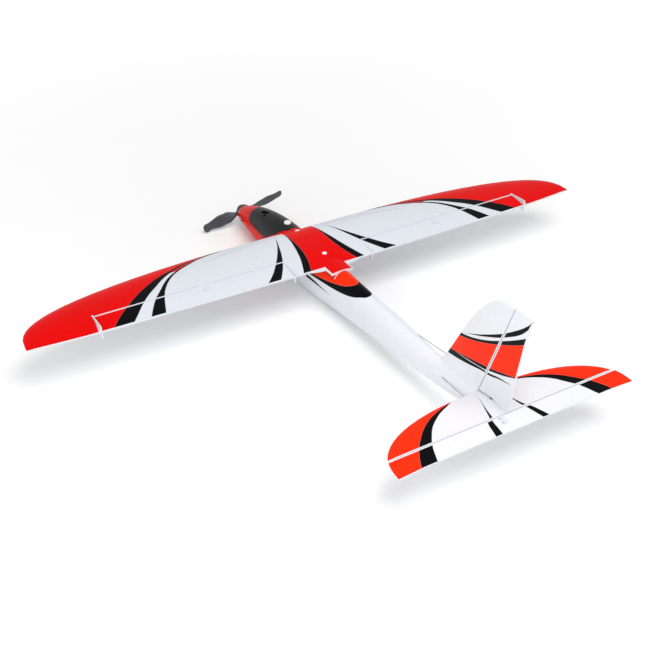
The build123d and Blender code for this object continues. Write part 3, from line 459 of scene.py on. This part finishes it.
FINISH = {
    "wing": ["wing", "aileron_left", "aileron_right"],
    "foam": ["aileron_end_plates", "aileron_back_plate_left", "aileron_back_plate_right",
             "elevator_horn_back_plate"],
    "tail": ["stabilizer", "elevator"],
    "fin": ["fin", "rudder"],
    "hull": ["fuselage_left", "fuselage_right"],
    "hatch": ["canopy_hatch"],
    "black": ["aileron_horn_left", "aileron_horn_right", "elevator_horn", "rudder_horn", "spinner"],
    "prop": ["propeller_blade_left", "propeller_blade_right"],
    "white": ["hatch_knob", "pushrod_tubes", "elevator_servo_arm", "rudder_servo_arm",
              "aileron_servo_arm_left", "aileron_servo_arm_right", "wing_screws"],
    "case": ["elevator_servo", "rudder_servo", "aileron_servo_left", "aileron_servo_right", "receiver"],
    "wrap": ["battery"],
    "sleeve": ["speed_controller"],
    "pad": ["receiver_pad"],
    "steel": ["elevator_pushrod", "rudder_pushrod", "aileron_pushrod_left", "aileron_pushrod_right",
              "blade_pins"],
    "zinc": ["servo_screws", "elevator_horn_screws", "tail_screw", "motor_screws", "spinner_screw"],
    "can": ["motor_bell", "propeller_yoke"],
    "magnet": ["hatch_magnet", "bulkhead_magnet"],
    "copper": ["motor_stator"],
    "ply": ["hatch_bulkhead", "wing_screw_plates", "servo_tray", "firewall", "battery_tray",
            "electronics_shelf"],
    "strap": ["battery_strap"],
    "carbon": ["wing_spar"],
}
for key, names in FINISH.items():
    for name in names:
        mesh = nodes[name].data
        mesh.materials.clear()
        mesh.materials.append(MATS[key])

# ---------------------------------------------------------------- living hinges
def hinge_web(name, start, end, across, half):
    """Thin foam web left between two surfaces: thick at both rims, thin along the hinge line."""
    start, end, across = Vector(start), Vector(end), Vector(across).normalized()
    through = (end - start).normalized().cross(across)
    upper = [(-half, 0.55), (-half * 0.45, 0.28), (0.0, 0.2), (half * 0.45, 0.28), (half, 0.55)]
    ring = upper + [(u, -w) for u, w in reversed(upper)]
    verts = [p + across * u + through * w for p in (start, end) for u, w in ring]
    n = len(ring)
    faces = [(i, (i + 1) % n, n + (i + 1) % n, n + i) for i in range(n)]
    faces += [tuple(reversed(range(n))), tuple(range(n, 2 * n))]
    mesh = bpy.data.meshes.new(name)
    mesh.from_pydata([v / 1000 for v in verts], [], faces)
    mesh.materials.append(MATS["foam"])
    web = bpy.data.objects.new(name, mesh)
    scene.collection.objects.link(web)
    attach(web, "fuselage")
    return web


ELEVATOR_HINGE = (-411.2, 86.5)              # x, z; it runs straight across the tail
RUDDER_HINGE = ((-348.2, 91.5), (-400.2, 259.5))
RUDDER_ACROSS = (0.9553, 0, 0.2957)          # square to the sloping hinge line
AILERON_HINGE = ((109.95, 82, 94.2), (106.05, 429.5, 98.2))

hinge_x, hinge_z = ELEVATOR_HINGE
hinge_web("elevator_hinge_web", (hinge_x, -206, hinge_z), (hinge_x, 206, hinge_z), (1, 0, 0), 1.5)
foot, head = [(x, 0, z) for x, z in RUDDER_HINGE]
hinge_web("rudder_hinge_web", foot, head, RUDDER_ACROSS, 1.5)
for side in (1, -1):
    inner, outer = [(x, side * y, z) for x, y, z in AILERON_HINGE]
    hinge_web("aileron_hinge_web", inner, outer, (1, 0, 0), 1.2)

# ---------------------------------------------------------------- stage
floor_material = Graph("studio_floor")
floor_tone = floor_material.noise(0.004, 2.0)
floor_color = floor_material.mix(floor_tone, (0.93, 0.93, 0.93), (0.95, 0.95, 0.95))
floor_material.finish(floor_color, 0.7, specular=0.1)
floor_material.bsdf.inputs["Emission Color"].default_value = (1, 1, 1, 1)
reach = floor_material.new("ShaderNodeVectorMath", operation="LENGTH")
floor_material.link(floor_material.mm, reach.inputs[0])
# A faint glow that grows away from the glider keeps the far floor white and the near shadows soft.
NEAR_MM, FAR_MM, NEAR_GLOW, FAR_GLOW = 500, 2200, 0.04, 0.45
glow = floor_material.fit(reach.outputs["Value"], NEAR_MM, FAR_MM, NEAR_GLOW, FAR_GLOW)
floor_material.link(glow, floor_material.bsdf.inputs["Emission Strength"])
bpy.ops.mesh.primitive_plane_add(size=120, location=(0, 0, -0.0005))
floor = bpy.context.object
floor.name = "floor"
floor.data.materials.append(floor_material.material)

world = bpy.data.worlds.new("studio")
scene.world = world
world.use_nodes = True
world.node_tree.nodes["Background"].inputs[0].default_value = (1.0, 1.0, 1.0, 1)
world.node_tree.nodes["Background"].inputs[1].default_value = 0.58


def softbox(name, place, target, size, watts):
    data = bpy.data.lights.new(name, "AREA")
    data.shape = "RECTANGLE"
    data.size, data.size_y = size
    data.energy = watts
    lamp = bpy.data.objects.new(name, data)
    lamp.location = place
    aim = Vector(target) - Vector(place)
    lamp.rotation_euler = aim.to_track_quat("-Z", "Y").to_euler()
    scene.collection.objects.link(lamp)


softbox("key", (-0.9, 0.0, 2.0), (-0.3, 0, 0.05), (1.5, 1.3), 27)
softbox("side", (-1.3, 1.9, 1.1), (-0.2, 0, 0.05), (1.6, 1.2), 16)

# ---------------------------------------------------------------- camera
CAMERA_PLACE = (-1.2300, 0.7992, 0.9999)     # behind the left wing, looking down at 35 degrees
CAMERA_RIGHT = Vector((-0.513341, -0.858137, 0.009026))
CAMERA_DOWN = Vector((-0.490333, 0.284654, -0.823739))
CAMERA_AHEAD = Vector((0.704311, -0.427285, -0.566898))
SENSOR_MM, LENS_MM = 36.0, 54.88

camera_data = bpy.data.cameras.new("camera")
camera_data.sensor_width = SENSOR_MM
camera_data.lens = LENS_MM
camera = bpy.data.objects.new("camera", camera_data)
turn = Matrix((CAMERA_RIGHT, -CAMERA_DOWN, -CAMERA_AHEAD)).transposed().to_4x4()
camera.matrix_world = Matrix.Translation(CAMERA_PLACE) @ turn
scene.collection.objects.link(camera)
scene.camera = camera
scene.view_settings.view_transform = "Standard"
